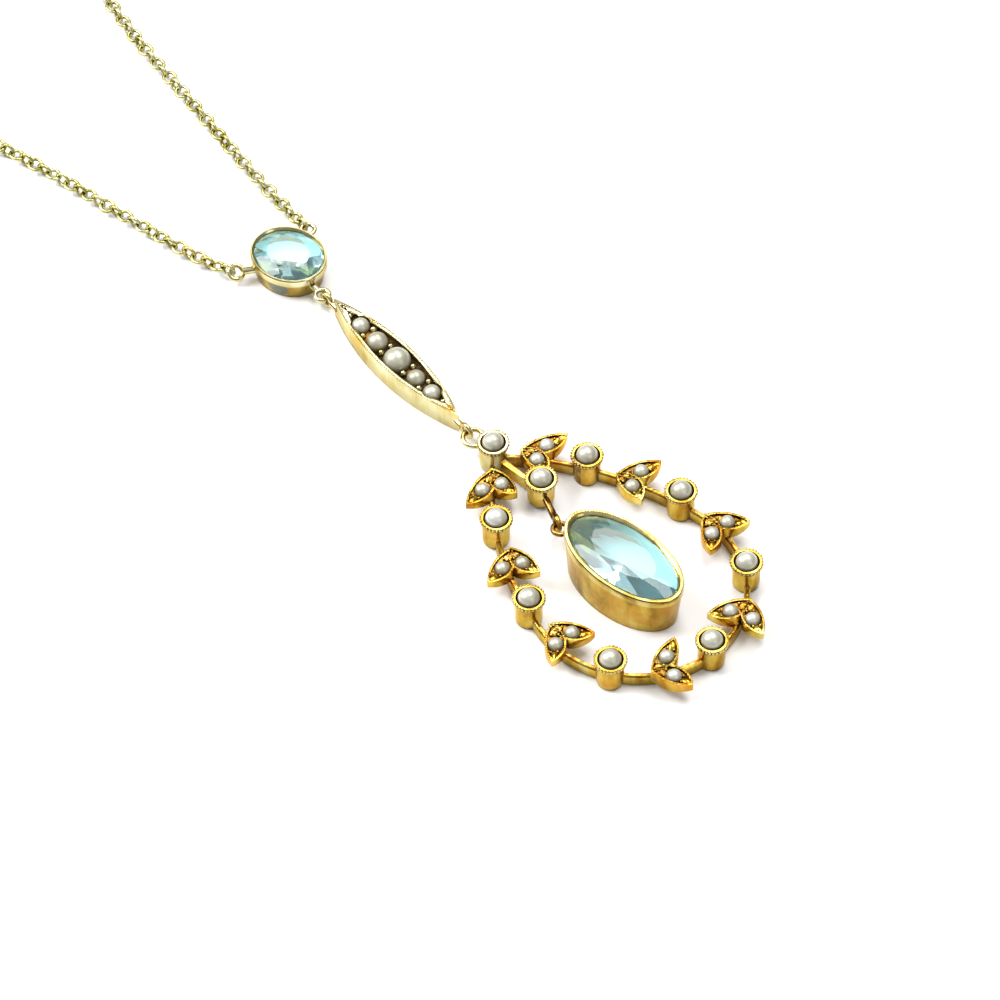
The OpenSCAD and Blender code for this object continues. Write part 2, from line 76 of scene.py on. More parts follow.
# small helpers for modelling by hand
def onlySelect(*things):
    if bpy.context.mode != "OBJECT":
        bpy.ops.object.mode_set(mode="OBJECT")
    bpy.ops.object.select_all(action="DESELECT")
    for thing in things:
        thing.select_set(True)
    bpy.context.view_layer.objects.active = things[0]


def applyAll(piece):
    onlySelect(piece)
    for modifier in list(piece.modifiers):
        bpy.ops.object.modifier_apply(modifier=modifier.name)
    bpy.ops.object.transform_apply(location=True, rotation=True, scale=True)


def joinAll(things, name):
    onlySelect(*things)
    bpy.ops.object.join()
    piece = bpy.context.view_layer.objects.active
    bpy.ops.object.transform_apply(location=True, rotation=True, scale=True)
    piece.name = name
    piece.data.name = name
    return piece


def placeCopy(pattern, matrix):
    copy = bpy.data.objects.new(pattern.name + "Copy", pattern.data.copy())
    bpy.context.scene.collection.objects.link(copy)
    copy.matrix_world = matrix
    return copy


def drop(pattern):
    bpy.data.objects.remove(pattern)


def smoothByAngle(piece, degrees):
    onlySelect(piece)
    bpy.ops.object.shade_smooth_by_angle(angle=math.radians(degrees))


def finishPiece(piece, material, slotName, *replaced):
    piece.data.materials.clear()
    piece.data.materials.append(material)
    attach(piece, "root")
    if replaced:
        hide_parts(*replaced)
    return piece


def ownFinish(piece, material, test):
    # gives the faces that pass the test a material of their own: a real finish on some, painted shade on others
    piece.data.materials.append(material)
    for face in piece.data.polygons:
        if test(face.center / mm, face.normal):
            face.material_index = len(piece.data.materials) - 1


def mergedCopy(node, name):
    copy = bpy.data.objects.new(name, nodes[node].data.copy())
    bpy.context.scene.collection.objects.link(copy)
    onlySelect(copy)
    bpy.ops.mesh.customdata_custom_splitnormals_clear()
    bpy.ops.object.mode_set(mode="EDIT")
    bpy.ops.mesh.select_all(action="SELECT")
    bpy.ops.mesh.remove_doubles(threshold=0.000002)
    bpy.ops.object.mode_set(mode="OBJECT")
    return copy


def beadPattern(radius, level=2, stretch=(1, 1, 1)):
    bpy.ops.object.select_all(action="DESELECT")
    bpy.ops.mesh.primitive_ico_sphere_add(subdivisions=level, radius=radius * mm)
    bead = bpy.context.view_layer.objects.active
    bpy.ops.object.mode_set(mode="EDIT")
    bpy.ops.mesh.select_all(action="SELECT")
    bpy.ops.transform.resize(value=stretch)
    bpy.ops.object.mode_set(mode="OBJECT")
    bpy.ops.object.shade_smooth()
    return bead


def shapedBlob(size, seed, rough, level=3):
    # a lump with hand-cut faces
    bpy.ops.object.select_all(action="DESELECT")
    bpy.ops.mesh.primitive_ico_sphere_add(subdivisions=level, radius=1 * mm)
    blob = bpy.context.view_layer.objects.active
    bpy.ops.object.mode_set(mode="EDIT")
    bpy.ops.mesh.select_all(action="SELECT")
    bpy.ops.transform.resize(value=size)
    bpy.ops.transform.vertex_random(offset=rough * mm, uniform=0.0, normal=0.0, seed=seed)
    bpy.ops.object.mode_set(mode="OBJECT")
    return blob


def middleOf(node):
    low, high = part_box(node)
    return (low + high) / 2 / mm


# materials
def newMaterial(name):
    material = bpy.data.materials.new(name)
    material.use_nodes = True
    tree = material.node_tree
    shader = tree.nodes["Principled BSDF"]
    return material, tree, shader


def objectPlace(tree, stretch=(1, 1, 1)):
    place = tree.nodes.new("ShaderNodeTexCoord")
    mapping = tree.nodes.new("ShaderNodeMapping")
    mapping.inputs["Scale"].default_value = stretch
    tree.links.new(place.outputs["Object"], mapping.inputs["Vector"])
    return mapping.outputs["Vector"]


def objectNoise(tree, scale, detail=4, roughness=0.6, stretch=(1, 1, 1)):
    noise = tree.nodes.new("ShaderNodeTexNoise")
    noise.inputs["Scale"].default_value = scale
    noise.inputs["Detail"].default_value = detail
    noise.inputs["Roughness"].default_value = roughness
    tree.links.new(objectPlace(tree, stretch), noise.inputs["Vector"])
    return noise.outputs["Fac"]


def colourRamp(tree, source, stops):
    ramp = tree.nodes.new("ShaderNodeValToRGB")
    while len(ramp.color_ramp.elements) < len(stops):
        ramp.color_ramp.elements.new(0.5)
    for element, (place, colour) in zip(ramp.color_ramp.elements, stops):
        element.position = place
        element.color = (*colour, 1)
    tree.links.new(source, ramp.inputs["Fac"])
    return ramp.outputs["Color"]


def mapValue(tree, source, low, high, fromLow=0.0, fromHigh=1.0):
    remap = tree.nodes.new("ShaderNodeMapRange")
    remap.inputs["From Min"].default_value = fromLow
    remap.inputs["From Max"].default_value = fromHigh
    remap.inputs["To Min"].default_value = low
    remap.inputs["To Max"].default_value = high
    tree.links.new(source, remap.inputs["Value"])
    return remap.outputs["Result"]


def mixColours(tree, factor, tone, colour):
    # lays a plain colour over a tone, as much as the factor says
    mix = tree.nodes.new("ShaderNodeMix")
    mix.data_type = "RGBA"
    tree.links.new(factor, mix.inputs["Factor"])
    tree.links.new(tone, mix.inputs["A"])
    mix.inputs["B"].default_value = (*colour, 1)
    return mix.outputs["Result"]


def addBump(tree, shader, height, strength, distance):
    bump = tree.nodes.new("ShaderNodeBump")
    bump.inputs["Strength"].default_value = strength
    bump.inputs["Distance"].default_value = distance * mm
    tree.links.new(height, bump.inputs["Height"])
    tree.links.new(bump.outputs["Normal"], shader.inputs["Normal"])


hollows = {"rays": 8, "closed": 0.15, "open": 0.75}


def closeness(tree, reach, most, openFrom=hollows["open"]):
    # how closely other metal stands around a point, from 0 to most
    near = tree.nodes.new("ShaderNodeAmbientOcclusion")
    near.samples = hollows["rays"]
    near.inputs["Distance"].default_value = reach * mm
    return mapValue(tree, near.outputs["AO"], most, 0, hollows["closed"], openFrom)


# where the worn gold's tones, patches and roughness begin and end, as shares of their noises
wear = {
    "tones": (0.34, 0.5, 0.66), "toneDetail": 5, "toneRough": 0.6,
    "patchSpan": (0.48, 0.66), "patchDetail": 3, "patchRough": 0.65,
    "roughScale": 900, "roughDetail": 3, "roughSpan": (0.3, 0.7),
    "dentDetail": 3, "dentRough": 0.5, "dentStrength": 0.6,
}


def wornGold(name, look):
    # worn polished gold: upright streaks of tone, partly random and partly painted reflection, larger reddish
    # patches, patina and painted shade in the hollows, fine dents
    material, tree, shader = newMaterial(name)
    shader.inputs["Metallic"].default_value = 1
    shader.inputs["Specular Tint"].default_value = (*look["edgeTint"], 1)
    # the upright streaks are partly random tone and partly painted reflection of dark surroundings on the walls
    toneAndReflectionStreaks = objectNoise(tree, look["toneScale"], wear["toneDetail"], wear["toneRough"], look["streak"])
    tone = colourRamp(tree, toneAndReflectionStreaks, list(zip(wear["tones"], (look["deep"], look["middle"], look["light"]))))
    patches = objectNoise(tree, look["patchScale"], wear["patchDetail"], wear["patchRough"])
    worn = mapValue(tree, patches, 0, look["patches"], *wear["patchSpan"])
    tone = mixColours(tree, worn, tone, look["patch"])
    # patina and painted shade: the colour darkens where other metal or the floor stands close
    grime = closeness(tree, look["grimeReach"], look["grime"])
    shader.inputs["Base Color"].default_value = (*look["middle"], 1)
    tree.links.new(mixColours(tree, grime, tone, look["dark"]), shader.inputs["Base Color"])
    polish = objectNoise(tree, wear["roughScale"], wear["roughDetail"])
    rough = mapValue(tree, polish, *look["roughness"], *wear["roughSpan"])
    tree.links.new(rough, shader.inputs["Roughness"])
    dents = objectNoise(tree, look["dentScale"], wear["dentDetail"], wear["dentRough"])
    addBump(tree, shader, dents, wear["dentStrength"], look["dents"])
    return material, tree, shader


# the tones of each gold on the piece, all worked from the wreath's reddish one; the brown and the black tones
# also serve as painted shade
goldLook = {
    "light": (0.62, 0.51, 0.16), "middle": (0.52, 0.35, 0.053), "deep": (0.26, 0.13, 0.01),
    # patina and painted shade in the hollows: its colour here, its strength and reach on the next line
    "dark": (0.04, 0.02, 0.005), "edgeTint": (1, 0.9, 0.64), "toneScale": 520, "streak": (1, 1, 0.35),
    "patch": (0.5, 0.21, 0.018), "patchScale": 300, "patches": 0.85, "grime": 0.95, "grimeReach": 0.6,
    "roughness": (0.14, 0.3), "dentScale": 1500, "dents": 0.05,
}
paleLook = dict(goldLook, light=(0.65, 0.61, 0.41), middle=(0.57, 0.52, 0.29), deep=(0.4, 0.32, 0.1),
                patch=(0.6, 0.42, 0.1), patches=0.5, dark=(0.04, 0.03, 0.012), grime=0.9,
                roughness=(0.12, 0.26), dentScale=1200, dents=0.02)
barLook = dict(paleLook, grime=0.6, grimeReach=0.25)
rimLook = dict(paleLook, light=(0.69, 0.62, 0.31), middle=(0.58, 0.47, 0.17), deep=(0.36, 0.25, 0.05),
               grimeReach=0.3)
# a darker brown copy of the gold: painted shade on the collet bands between their teeth, and the dark brown of
# the drop's hook and outer rings
brownLook = dict(goldLook, light=(0.5, 0.33, 0.1), middle=(0.26, 0.14, 0.035), deep=(0.06, 0.03, 0.01),
                 toneScale=1500, streak=(1, 1, 1), patch=(0.03, 0.02, 0.015), patches=0.9)
chainLook = dict(paleLook, light=(0.6, 0.59, 0.34), middle=(0.55, 0.53, 0.22), deep=(0.32, 0.3, 0.07),
                 grimeReach=0.9, roughness=(0.16, 0.32))
chasedLook = dict(goldLook, light=(0.68, 0.52, 0.17), middle=(0.5, 0.26, 0.042), deep=(0.22, 0.07, 0.011),
                  toneScale=1600, streak=(1, 1, 1), roughness=(0.18, 0.34), dentScale=2600, dents=0.1)
# near black: the blackening of the bar's tray and cuts, and painted shade in the collet cups and on the stone
# settings' ledges
blackLook = dict(goldLook, light=(0.09, 0.065, 0.03), middle=(0.025, 0.018, 0.01), deep=(0.01, 0.007, 0.004),
                 toneScale=1800, streak=(1, 1, 1), roughness=(0.35, 0.6), dentScale=2600, dents=0.1)
solder = {
    "middle": (-2.26, 25.23, 0.9), "reach": 1.1, "fade": (0.25, 0.5), "colour": (0.12, 0.16, 0.18),
    "ragged": 0.9, "raggedScale": 1300,
}


def solderedGold():
    # the top setting's gold, with the grey patch of an old repair on its wall
    material, tree, shader = wornGold("mendedGold", goldLook)
    away = tree.nodes.new("ShaderNodeVectorMath")
    away.operation = "DISTANCE"
    away.inputs[1].default_value = Vector(solder["middle"]) * mm
    tree.links.new(objectPlace(tree), away.inputs[0])
    edge = tree.nodes.new("ShaderNodeMath")
    edge.operation = "MULTIPLY_ADD"
    edge.inputs[1].default_value = solder["ragged"] * mm
    tree.links.new(objectNoise(tree, solder["raggedScale"], 3), edge.inputs[0])
    tree.links.new(away.outputs["Value"], edge.inputs[2])
    fadeFrom, fadeTo = [(solder["reach"] + width) * mm for width in solder["fade"]]
    patch = mapValue(tree, edge.outputs[0], 1, 0, fadeFrom, fadeTo)
    gold = shader.inputs["Base Color"].links[0].from_socket
    tree.links.new(mixColours(tree, patch, gold, solder["colour"]), shader.inputs["Base Color"])
    return material


pearlLook = {
    "tones": [(0.3, (0.36, 0.34, 0.24)), (0.5, (0.5, 0.49, 0.39)), (0.72, (0.62, 0.63, 0.58))],
    "toneScale": 260,
    # the colour, strength, reach and start of the painted shade where the pearl meets the metal
    "dark": (0.14, 0.11, 0.04), "grime": 0.85, "grimeReach": 0.8, "grimeFrom": 0.92,
    "skinScale": 1500, "skinStrength": 0.3, "skin": 0.03,
    "lustre": {"Roughness": 0.36, "Specular IOR Level": 0.7, "Coat Weight": 0.5, "Coat Roughness": 0.22,
               "Metallic": 0.4},
}


def pearlMaterial():
    material, tree, shader = newMaterial("seedPearl")
    look = pearlLook
    tone = colourRamp(tree, objectNoise(tree, look["toneScale"], 3), look["tones"])
    # painted shade: the pearl darkens where the metal closes around it
    grime = closeness(tree, look["grimeReach"], look["grime"], look["grimeFrom"])
    tree.links.new(mixColours(tree, grime, tone, look["dark"]), shader.inputs["Base Color"])
    for socket, value in look["lustre"].items():
        shader.inputs[socket].default_value = value
    addBump(tree, shader, objectNoise(tree, look["skinScale"], 2), look["skinStrength"], look["skin"])
    return material


aquaLook = {
    "tones": [(0.3, (0.54, 0.85, 0.91)), (0.7, (0.62, 0.9, 0.95))], "toneScale": 200,
    "shadow": (0.8, 0.96, 0.98),
    "clarity": {"Roughness": 0.0, "IOR": 1.48, "Transmission Weight": 0.96},
}


def aquamarineMaterial():
    material, tree, shader = newMaterial("aquamarine")
    tone = colourRamp(tree, objectNoise(tree, aquaLook["toneScale"], 2), aquaLook["tones"])
    tree.links.new(tone, shader.inputs["Base Color"])
    for socket, value in aquaLook["clarity"].items():
        shader.inputs[socket].default_value = value
    # the stone lets light through to the table, so its shadow is only tinted
    clear = tree.nodes.new("ShaderNodeBsdfTransparent")
    clear.inputs["Color"].default_value = (*aquaLook["shadow"], 1)
    path = tree.nodes.new("ShaderNodeLightPath")
    mix = tree.nodes.new("ShaderNodeMixShader")
    tree.links.new(path.outputs["Is Shadow Ray"], mix.inputs[0])
    tree.links.new(shader.outputs[0], mix.inputs[1])
    tree.links.new(clear.outputs[0], mix.inputs[2])
    tree.links.new(mix.outputs[0], tree.nodes["Material Output"].inputs["Surface"])
    return material


gold = wornGold("reddishGold", goldLook)[0]
paleGold = wornGold("paleGold", paleLook)[0]
chainGold = wornGold("chainGold", chainLook)[0]
chasedGold = wornGold("chasedGold", chasedLook)[0]
blackGold = wornGold("blackenedGold", blackLook)[0]
barGold = wornGold("barGold", barLook)[0]
rimGold = wornGold("rimGold", rimLook)[0]
brownGold = wornGold("brownGold", brownLook)[0]
mendedGold = solderedGold()
seedPearl = pearlMaterial()
aquamarine = aquamarineMaterial()
print("materials made")

# metal that the CAD gives, with its edges softened
castMetal = {
    "edge": 0.035, "edgeSteps": 2, "sharp": 35, "smooth": 40,
    "leafFloor": 1.98, "barFloor": 1.65, "wireTop": 1.19,  # heights of the flats with a finish of their own
    "collet": 1.4, "cupWide": 1.12, "cupLow": 2.3, "bandLow": 2.5,  # around a collet's middle, and heights
    "pastTop": 1.2, "hook": 3.6,  # how far the ring past the top collet and the drop's hook lie
    "play": 0.06, "stepPlay": 0.028, "level": 0.8, "flat": 0.9,  # how near a height or a normal has to be
}


def softenedMetal(node, name, material, slotName):
    piece = mergedCopy(node, name)
    bevel = piece.modifiers.new("edge", "BEVEL")
    bevel.width = castMetal["edge"] * mm
    bevel.segments = castMetal["edgeSteps"]
    bevel.limit_method = "ANGLE"
    bevel.angle_limit = math.radians(castMetal["sharp"])
    bevel.use_clamp_overlap = True
    applyAll(piece)
    smoothByAngle(piece, castMetal["smooth"])
    return finishPiece(piece, material, slotName, node)


def isFloor(height):
    def test(middle, normal):
        return abs(middle.z - height) < castMetal["play"] and normal.z > castMetal["level"]
    return test


roundPearls = [node for node in sorted(nodes) if node.startswith("wreath_pearl") or node == "inner_pearl"]
colletMiddles = [middleOf(node) for node in roundPearls]
topCollet = middleOf("wreath_pearl_1")
innerCollet = middleOf("inner_pearl")


def flatGap(place, other):
    return math.hypot(place.x - other.x, place.y - other.y)


def inTopCollet(middle, normal):
    return flatGap(middle, topCollet) < castMetal["collet"] or middle.y > topCollet.y + castMetal["pastTop"]


def inCup(middle, normal):
    if middle.z < castMetal["cupLow"]:
        return False
    return min(flatGap(middle, collet) for collet in colletMiddles) < castMetal["cupWide"]


def onBand(middle, normal):
    if middle.z < castMetal["bandLow"] or abs(normal.z) > castMetal["flat"]:
        return False
    return castMetal["cupWide"] < min(flatGap(middle, collet) for collet in colletMiddles) < castMetal["collet"]


def overStep(rim):
    return lambda middle, normal: middle.z > rim["step"]


def inStep(rim):
    return lambda middle, normal: abs(middle.z - rim["step"]) < castMetal["stepPlay"]


def inHook(middle, normal):
    return middle.y < innerCollet.y and castMetal["collet"] < flatGap(middle, innerCollet) < castMetal["hook"]


def pastWall(rim, node):
    # whether a face lies outside a stone setting's oval wall, on its rings
    centre = middleOf(node)
    turn = math.radians(rim["turn"])
    halfWide, halfLong = [half + castMetal["play"] for half in rim["half"]]

    def test(middle, normal):
        x, y = middle.x - centre.x, middle.y - centre.y
        aside = x * math.cos(turn) + y * math.sin(turn)
        along = y * math.cos(turn) - x * math.sin(turn)
        return math.hypot(aside / halfWide, along / halfLong) > 1
    return test


# the rims of the two stone settings, whose rows of beads are drawn as ovals around the stones
stoneRims = {
    "drop": {"half": (3.2, 5.95), "inset": 0.24, "turn": 4.5, "height": 4.36, "bead": 1.0, "step": 3.63},
    "top": {"half": (2.95, 3.4), "inset": 0.15, "turn": 15 - 1.1, "height": 2.37, "bead": 0.85, "step": 1.63},
}

wreathMetal = softenedMetal("wreath", "wreathMetal", gold, "gold")
ownFinish(wreathMetal, chasedGold, isFloor(castMetal["leafFloor"]))
ownFinish(wreathMetal, paleGold, inTopCollet)
ownFinish(wreathMetal, brownGold, inHook)
# painted shade: the collet cups round the pearls take the near-black gold
ownFinish(wreathMetal, blackGold, inCup)
# painted shade: the collet bands behind the teeth take the dark brown gold
ownFinish(wreathMetal, brownGold, onBand)
ownFinish(wreathMetal, chasedGold, isFloor(castMetal["wireTop"]))
dropMetal = softenedMetal("drop_setting", "dropMetal", gold, "gold")
ownFinish(dropMetal, rimGold, overStep(stoneRims["drop"]))
# painted shade: the ledge inside the drop's rim takes the near-black gold
ownFinish(dropMetal, blackGold, inStep(stoneRims["drop"]))
ownFinish(dropMetal, brownGold, pastWall(stoneRims["drop"], "drop_stone"))
topMetal = softenedMetal("top_setting", "topMetal", mendedGold, "gold")
ownFinish(topMetal, paleGold, overStep(stoneRims["top"]))
# painted shade: the ledge inside the top setting's rim takes the near-black gold
ownFinish(topMetal, blackGold, inStep(stoneRims["top"]))
ownFinish(topMetal, paleGold, pastWall(stoneRims["top"], "top_stone"))
barMetal = softenedMetal("bar_setting", "barMetal", barGold, "pale_gold")
ownFinish(barMetal, blackGold, isFloor(castMetal["barFloor"]))
softenedMetal("clasp", "claspMetal", paleGold, "pale_gold")
print("metal dressed")

# stones and pearls keep their CAD shapes
pearlSmooth = 60
for node in ("drop_stone", "top_stone"):
    nodes[node].data.materials.clear()
    nodes[node].data.materials.append(aquamarine)
for node in nodes:
    if "pearl" in node:
        pearl = mergedCopy(node, node.replace("_", "") + "Set")
        smoothByAngle(pearl, pearlSmooth)
        finishPiece(pearl, seedPearl, "pearl", node)
print("stones and pearls dressed")

# toothed rims of the pearl collets, each tooth a short upright ridge over the pearl's edge
colletRim = {
    "teeth": 28, "ring": 1.275, "height": 2.8, "tooth": 0.128, "tall": 1.5,
    "uneven": 0.016, "astray": 0.08, "sizes": (0.9, 1.06),
}


def makeColletTeeth(name, rims, material, slotName):
    luck = random.Random(5)
    pattern = beadPattern(colletRim["tooth"], 2, (1, 1, colletRim["tall"]))
    things = []
    for node in rims:
        middle = middleOf(node)
        for i in range(colletRim["teeth"]):
            astray = luck.uniform(-colletRim["astray"], colletRim["astray"])
            turn = 2 * math.pi * (i + astray) / colletRim["teeth"]
            ring = colletRim["ring"] + luck.uniform(-1, 1) * colletRim["uneven"]
            height = colletRim["height"] + luck.uniform(-2, 1) * colletRim["uneven"]
            spot = Vector((middle.x + ring * math.cos(turn), middle.y + ring * math.sin(turn), height))
            size = luck.uniform(*colletRim["sizes"])
            things.append(placeCopy(pattern, Matrix.Translation(spot * mm) @ Matrix.Scale(size, 4)))
    drop(pattern)
    return finishPiece(joinAll(things, name), material, slotName)


makeColletTeeth("colletTeeth", [node for node in roundPearls if node != "wreath_pearl_1"], rimGold, "gold")
makeColletTeeth("topColletTeeth", ["wreath_pearl_1"], paleGold, "gold")
print("collet rims toothed")

# milgrain: a row of fine beads along a line that the maker rolled into the edge
milgrain = {"pitch": 0.23, "bead": 0.105, "level": 1, "uneven": 0.012, "ovalSteps": 144}


def evenSpots(path, count):
    lengths = [0.0]
    for a, b in zip(path, path[1:]):
        lengths.append(lengths[-1] + (b - a).length)
    spots = []
    k = 0
    for i in range(count):
        goal = lengths[-1] * i / (count - 1)
        while k < len(path) - 2 and lengths[k + 1] < goal:
            k += 1
        share = (goal - lengths[k]) / (lengths[k + 1] - lengths[k])
        spots.append(path[k].lerp(path[k + 1], share))
    return spots


def makeMilgrain(name, lines, material, slotName, size=1.0):
    luck = random.Random(len(name))
    pattern = beadPattern(milgrain["bead"] * size, milgrain["level"])
    things = []
    for path in lines:
        length = sum((b - a).length for a, b in zip(path, path[1:]))
        for spot in evenSpots(path, int(length / milgrain["pitch"] / size))[:-1]:
            lift = Vector((0, 0, luck.uniform(-milgrain["uneven"], milgrain["uneven"])))
            things.append(placeCopy(pattern, Matrix.Translation((spot + lift) * mm)))
    drop(pattern)
    return finishPiece(joinAll(things, name), material, slotName)


def ovalLine(rim, node):
    middle = middleOf(node)
    turn = math.radians(rim["turn"])
    line = []
    for i in range(milgrain["ovalSteps"] + 1):
        a = 2 * math.pi * i / milgrain["ovalSteps"]
        x = (rim["half"][0] - rim["inset"]) * math.cos(a)
        y = (rim["half"][1] - rim["inset"]) * math.sin(a)
        line.append(Vector((middle.x + x * math.cos(turn) - y * math.sin(turn),
                            middle.y + x * math.sin(turn) + y * math.cos(turn), rim["height"])))
    return line


for part, rim in stoneRims.items():
    makeMilgrain(part + "Milgrain", [ovalLine(rim, part + "_stone")], rimGold, "gold", rim["bead"])
print("stone rims beaded")

# navette bar: milgrain on both edges, grains in pairs between the pearls and in line at the tips, and
# blackened cuts that run on from its tray
bar = {
    "low": 4.375, "long": 16.336, "wide": 3.06, "border": 0.3, "height": 2.15, "sway": 1.1,
    "pearls": 5, "grain": 0.29, "aside": 0.54, "grainHeight": 1.8, "tipHeight": 2.14,
    "tipGrains": ((0.62, 0.34, 0), (0.95, 0.42, 0), (1.32, 0.5, 0), (1.75, 0.62, 0), (2.15, 0.8, 0.06)),
    "tipReach": 1.7, "astray": 0.03, "sizes": (0.9, 1.1), "tall": 1.25,  # of the grains
    "tipBed": (0.66, 0.15, 0.05), "tipBedAt": 1.12, "tipBedRough": 0.01,
    "milgrainIn": 0.7, "milgrainSunk": 0.02, "edgeSteps": 30,
}


def onBar(along, aside, height):
    # a place on the bar, measured from its wreath end
    sway = math.radians(bar["sway"])
    y = bar["low"] + along
    x = aside * math.cos(sway) + y * math.sin(sway)
    return Vector((x, y * math.cos(sway) - aside * math.sin(sway), height))


def barEdge(side):
    share = 1 - bar["border"] * bar["milgrainIn"] / bar["wide"]
    long, wide = bar["long"] * share, bar["wide"] * share
    radius = (long * long + wide * wide) / (4 * wide)
    most = math.asin(long / 2 / radius)
    line = []
    for i in range(2 * bar["edgeSteps"] + 1):
        a = most * (i / bar["edgeSteps"] - 1)
        aside = side * (wide / 2 - radius + radius * math.cos(a))
        line.append(onBar(bar["long"] / 2 + radius * math.sin(a), aside, bar["height"] - bar["milgrainSunk"]))
    return line


def makeBarGrains():
    luck = random.Random(31)
    pattern = beadPattern(bar["grain"], 2, (1, 1, bar["tall"]))
    things, grains, spans = [], [], []
    for i in range(1, bar["pearls"] + 1):
        low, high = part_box("bar_pearl_" + str(i))
        middle = (low + high) / 2 / mm
        half = (high.z - low.z) / 2 / mm
        along = middle.y / math.cos(math.radians(bar["sway"])) - bar["low"]
        spans.append((along - half, along + half))
    for before, after in zip(spans, spans[1:]):
        for side in (-1, 1):
            grains.append(((before[1] + after[0]) / 2, side * bar["aside"], 1))
    for along, size, aside in bar["tipGrains"]:
        grains.append((along, aside, size))
        grains.append((bar["long"] - along, -aside, size))
    astray = bar["astray"]
    for along, aside, size in grains:
        onTip = min(along, bar["long"] - along) < bar["tipReach"]
        height = bar["tipHeight"] if onTip else bar["grainHeight"]
        spot = onBar(along + luck.uniform(-astray, astray), aside + luck.uniform(-astray, astray), height)
        size *= luck.uniform(*bar["sizes"])
        things.append(placeCopy(pattern, Matrix.Translation(spot * mm) @ Matrix.Scale(size, 4)))
    drop(pattern)
    return finishPiece(joinAll(things, "barGrains"), barGold, "pale_gold")


def makeBarTips():
    # the blackened cuts that run on from the tray to the bar's points
    things = []
    for along in (bar["tipBedAt"], bar["long"] - bar["tipBedAt"]):
        bed = shapedBlob(bar["tipBed"], int(along * 10), bar["tipBedRough"], 3)
        turn = Matrix.Rotation(math.radians(90 - bar["sway"]), 4, "Z")
        bed.matrix_world = Matrix.Translation(onBar(along, 0, bar["tipHeight"]) * mm) @ turn
        things.append(bed)
    return finishPiece(joinAll(things, "barTips"), blackGold, "pale_gold")


makeMilgrain("barMilgrain", [barEdge(-1), barEdge(1)], paleGold, "pale_gold")
makeBarGrains()
makeBarTips()
print("bar dressed")

# leaves: the wreath's outline as the CAD source bends it, then grains and a chased bed in each leaf
wreath = {"long": 26.6, "round": 8.9, "turn": 10}
leaf = {
    "long": 3.8, "wide": 1.74, "bow": 0.33, "top": 2.3, "floor": 1.98, "back": (0.026, 0.047), "pearls": 16,
    "pairs": ((0.069, 0.05, 30, 42, 1.12, 0.87), (0.312, 0.33, 44, 31, 1.06, 0.92),
              (0.559, 0.27, 33, 43, 1, 1), (0.842, -0.23, 30, 54, 0.96, 1.03)),
    "grains": ((0.28, -0.3, 0.95), (0.3, 0.26, 0.8), (0.72, -0.28, 0.95), (0.73, 0.26, 0.85)),
    "grain": 0.155, "grainTall": 1.2, "grainRise": 0.12, "grainAstray": (0.015, 0.05),
    "edge": 0.1, "edgeShape": (1.9, 0.72, 0.9), "edges": 15, "lean": 0.07, "edgeSunk": 0.035,
    "edgeLift": (-0.03, 0.02), "edgeTurn": 0.16, "edgeSizes": (0.75, 1.12), "edgeGap": 0.05, "step": 0.02,
}
# the lumps in each tray, with sizes across as shares of the leaf's length and width
leafLumps = {
    "tip": {"at": 0.8, "long": 0.15, "wide": 0.2, "tall": 0.24, "rough": 0.022, "lean": -14,
            "level": 2, "smooth": 22},
    "fork": {"at": 0.2, "long": 0.12, "wide": 0.22, "tall": 0.2, "rough": 0.05, "lean": 0,
             "level": 3, "smooth": 35},
}
lumpRise = 0.06


def wreathWay(share):
    # point and heading on the right half of the wreath's outline
    r, turn = wreath["round"], math.radians(wreath["turn"])
    circleY = r - wreath["long"]
    arc = (circleY * circleY - r * r) / (2 * (r + circleY * math.sin(turn)))
    sideR, sideX, sideY = r + arc, -arc * math.cos(turn), circleY - arc * math.sin(turn)
    sideFrom = math.atan2(-sideY, -sideX)
    sideLong = sideR * (sideFrom - turn)
    s = share * (sideLong + r * (turn + math.pi / 2))
    if s < sideLong:
        a = sideFrom - s / sideR
        return Vector((sideX + sideR * math.cos(a), sideY + sideR * math.sin(a))), a - math.pi / 2
    a = turn - (s - sideLong) / r
    return Vector((r * math.cos(a), circleY + r * math.sin(a))), a - math.pi / 2


def leafFrame(number):
    # base, heading, length, bend and mirror sign of a leaf
    pair = (number - 1) // 2
    mirror = 1 if pair < 4 else -1
    row = leaf["pairs"][pair if pair < 4 else 7 - pair]
    outer = number % 2 == 1
    point, way = wreathWay(row[0])
    heading = way + math.radians(row[2] if outer else -row[3])
    inset = row[1] * leaf["wide"]
    back = leaf["long"] * leaf["back"][0 if outer else 1]
    base = point + Vector((inset * math.sin(way), -inset * math.cos(way)))
    base -= back * Vector((math.cos(heading), math.sin(heading)))
    return base, heading, leaf["long"] * row[4 if outer else 5], (-1 if outer else 1) * leaf["bow"], mirror


def onLeaf(number, share, aside, height):
    base, heading, long, bow, mirror = leafFrame(number)
    bend = bow * (1 - (2 * share - 1) ** 2) + aside
    x = base.x + share * long * math.cos(heading) - bend * math.sin(heading)
    y = base.y + share * long * math.sin(heading) + bend * math.cos(heading)
    return Vector((mirror * x, y, height))


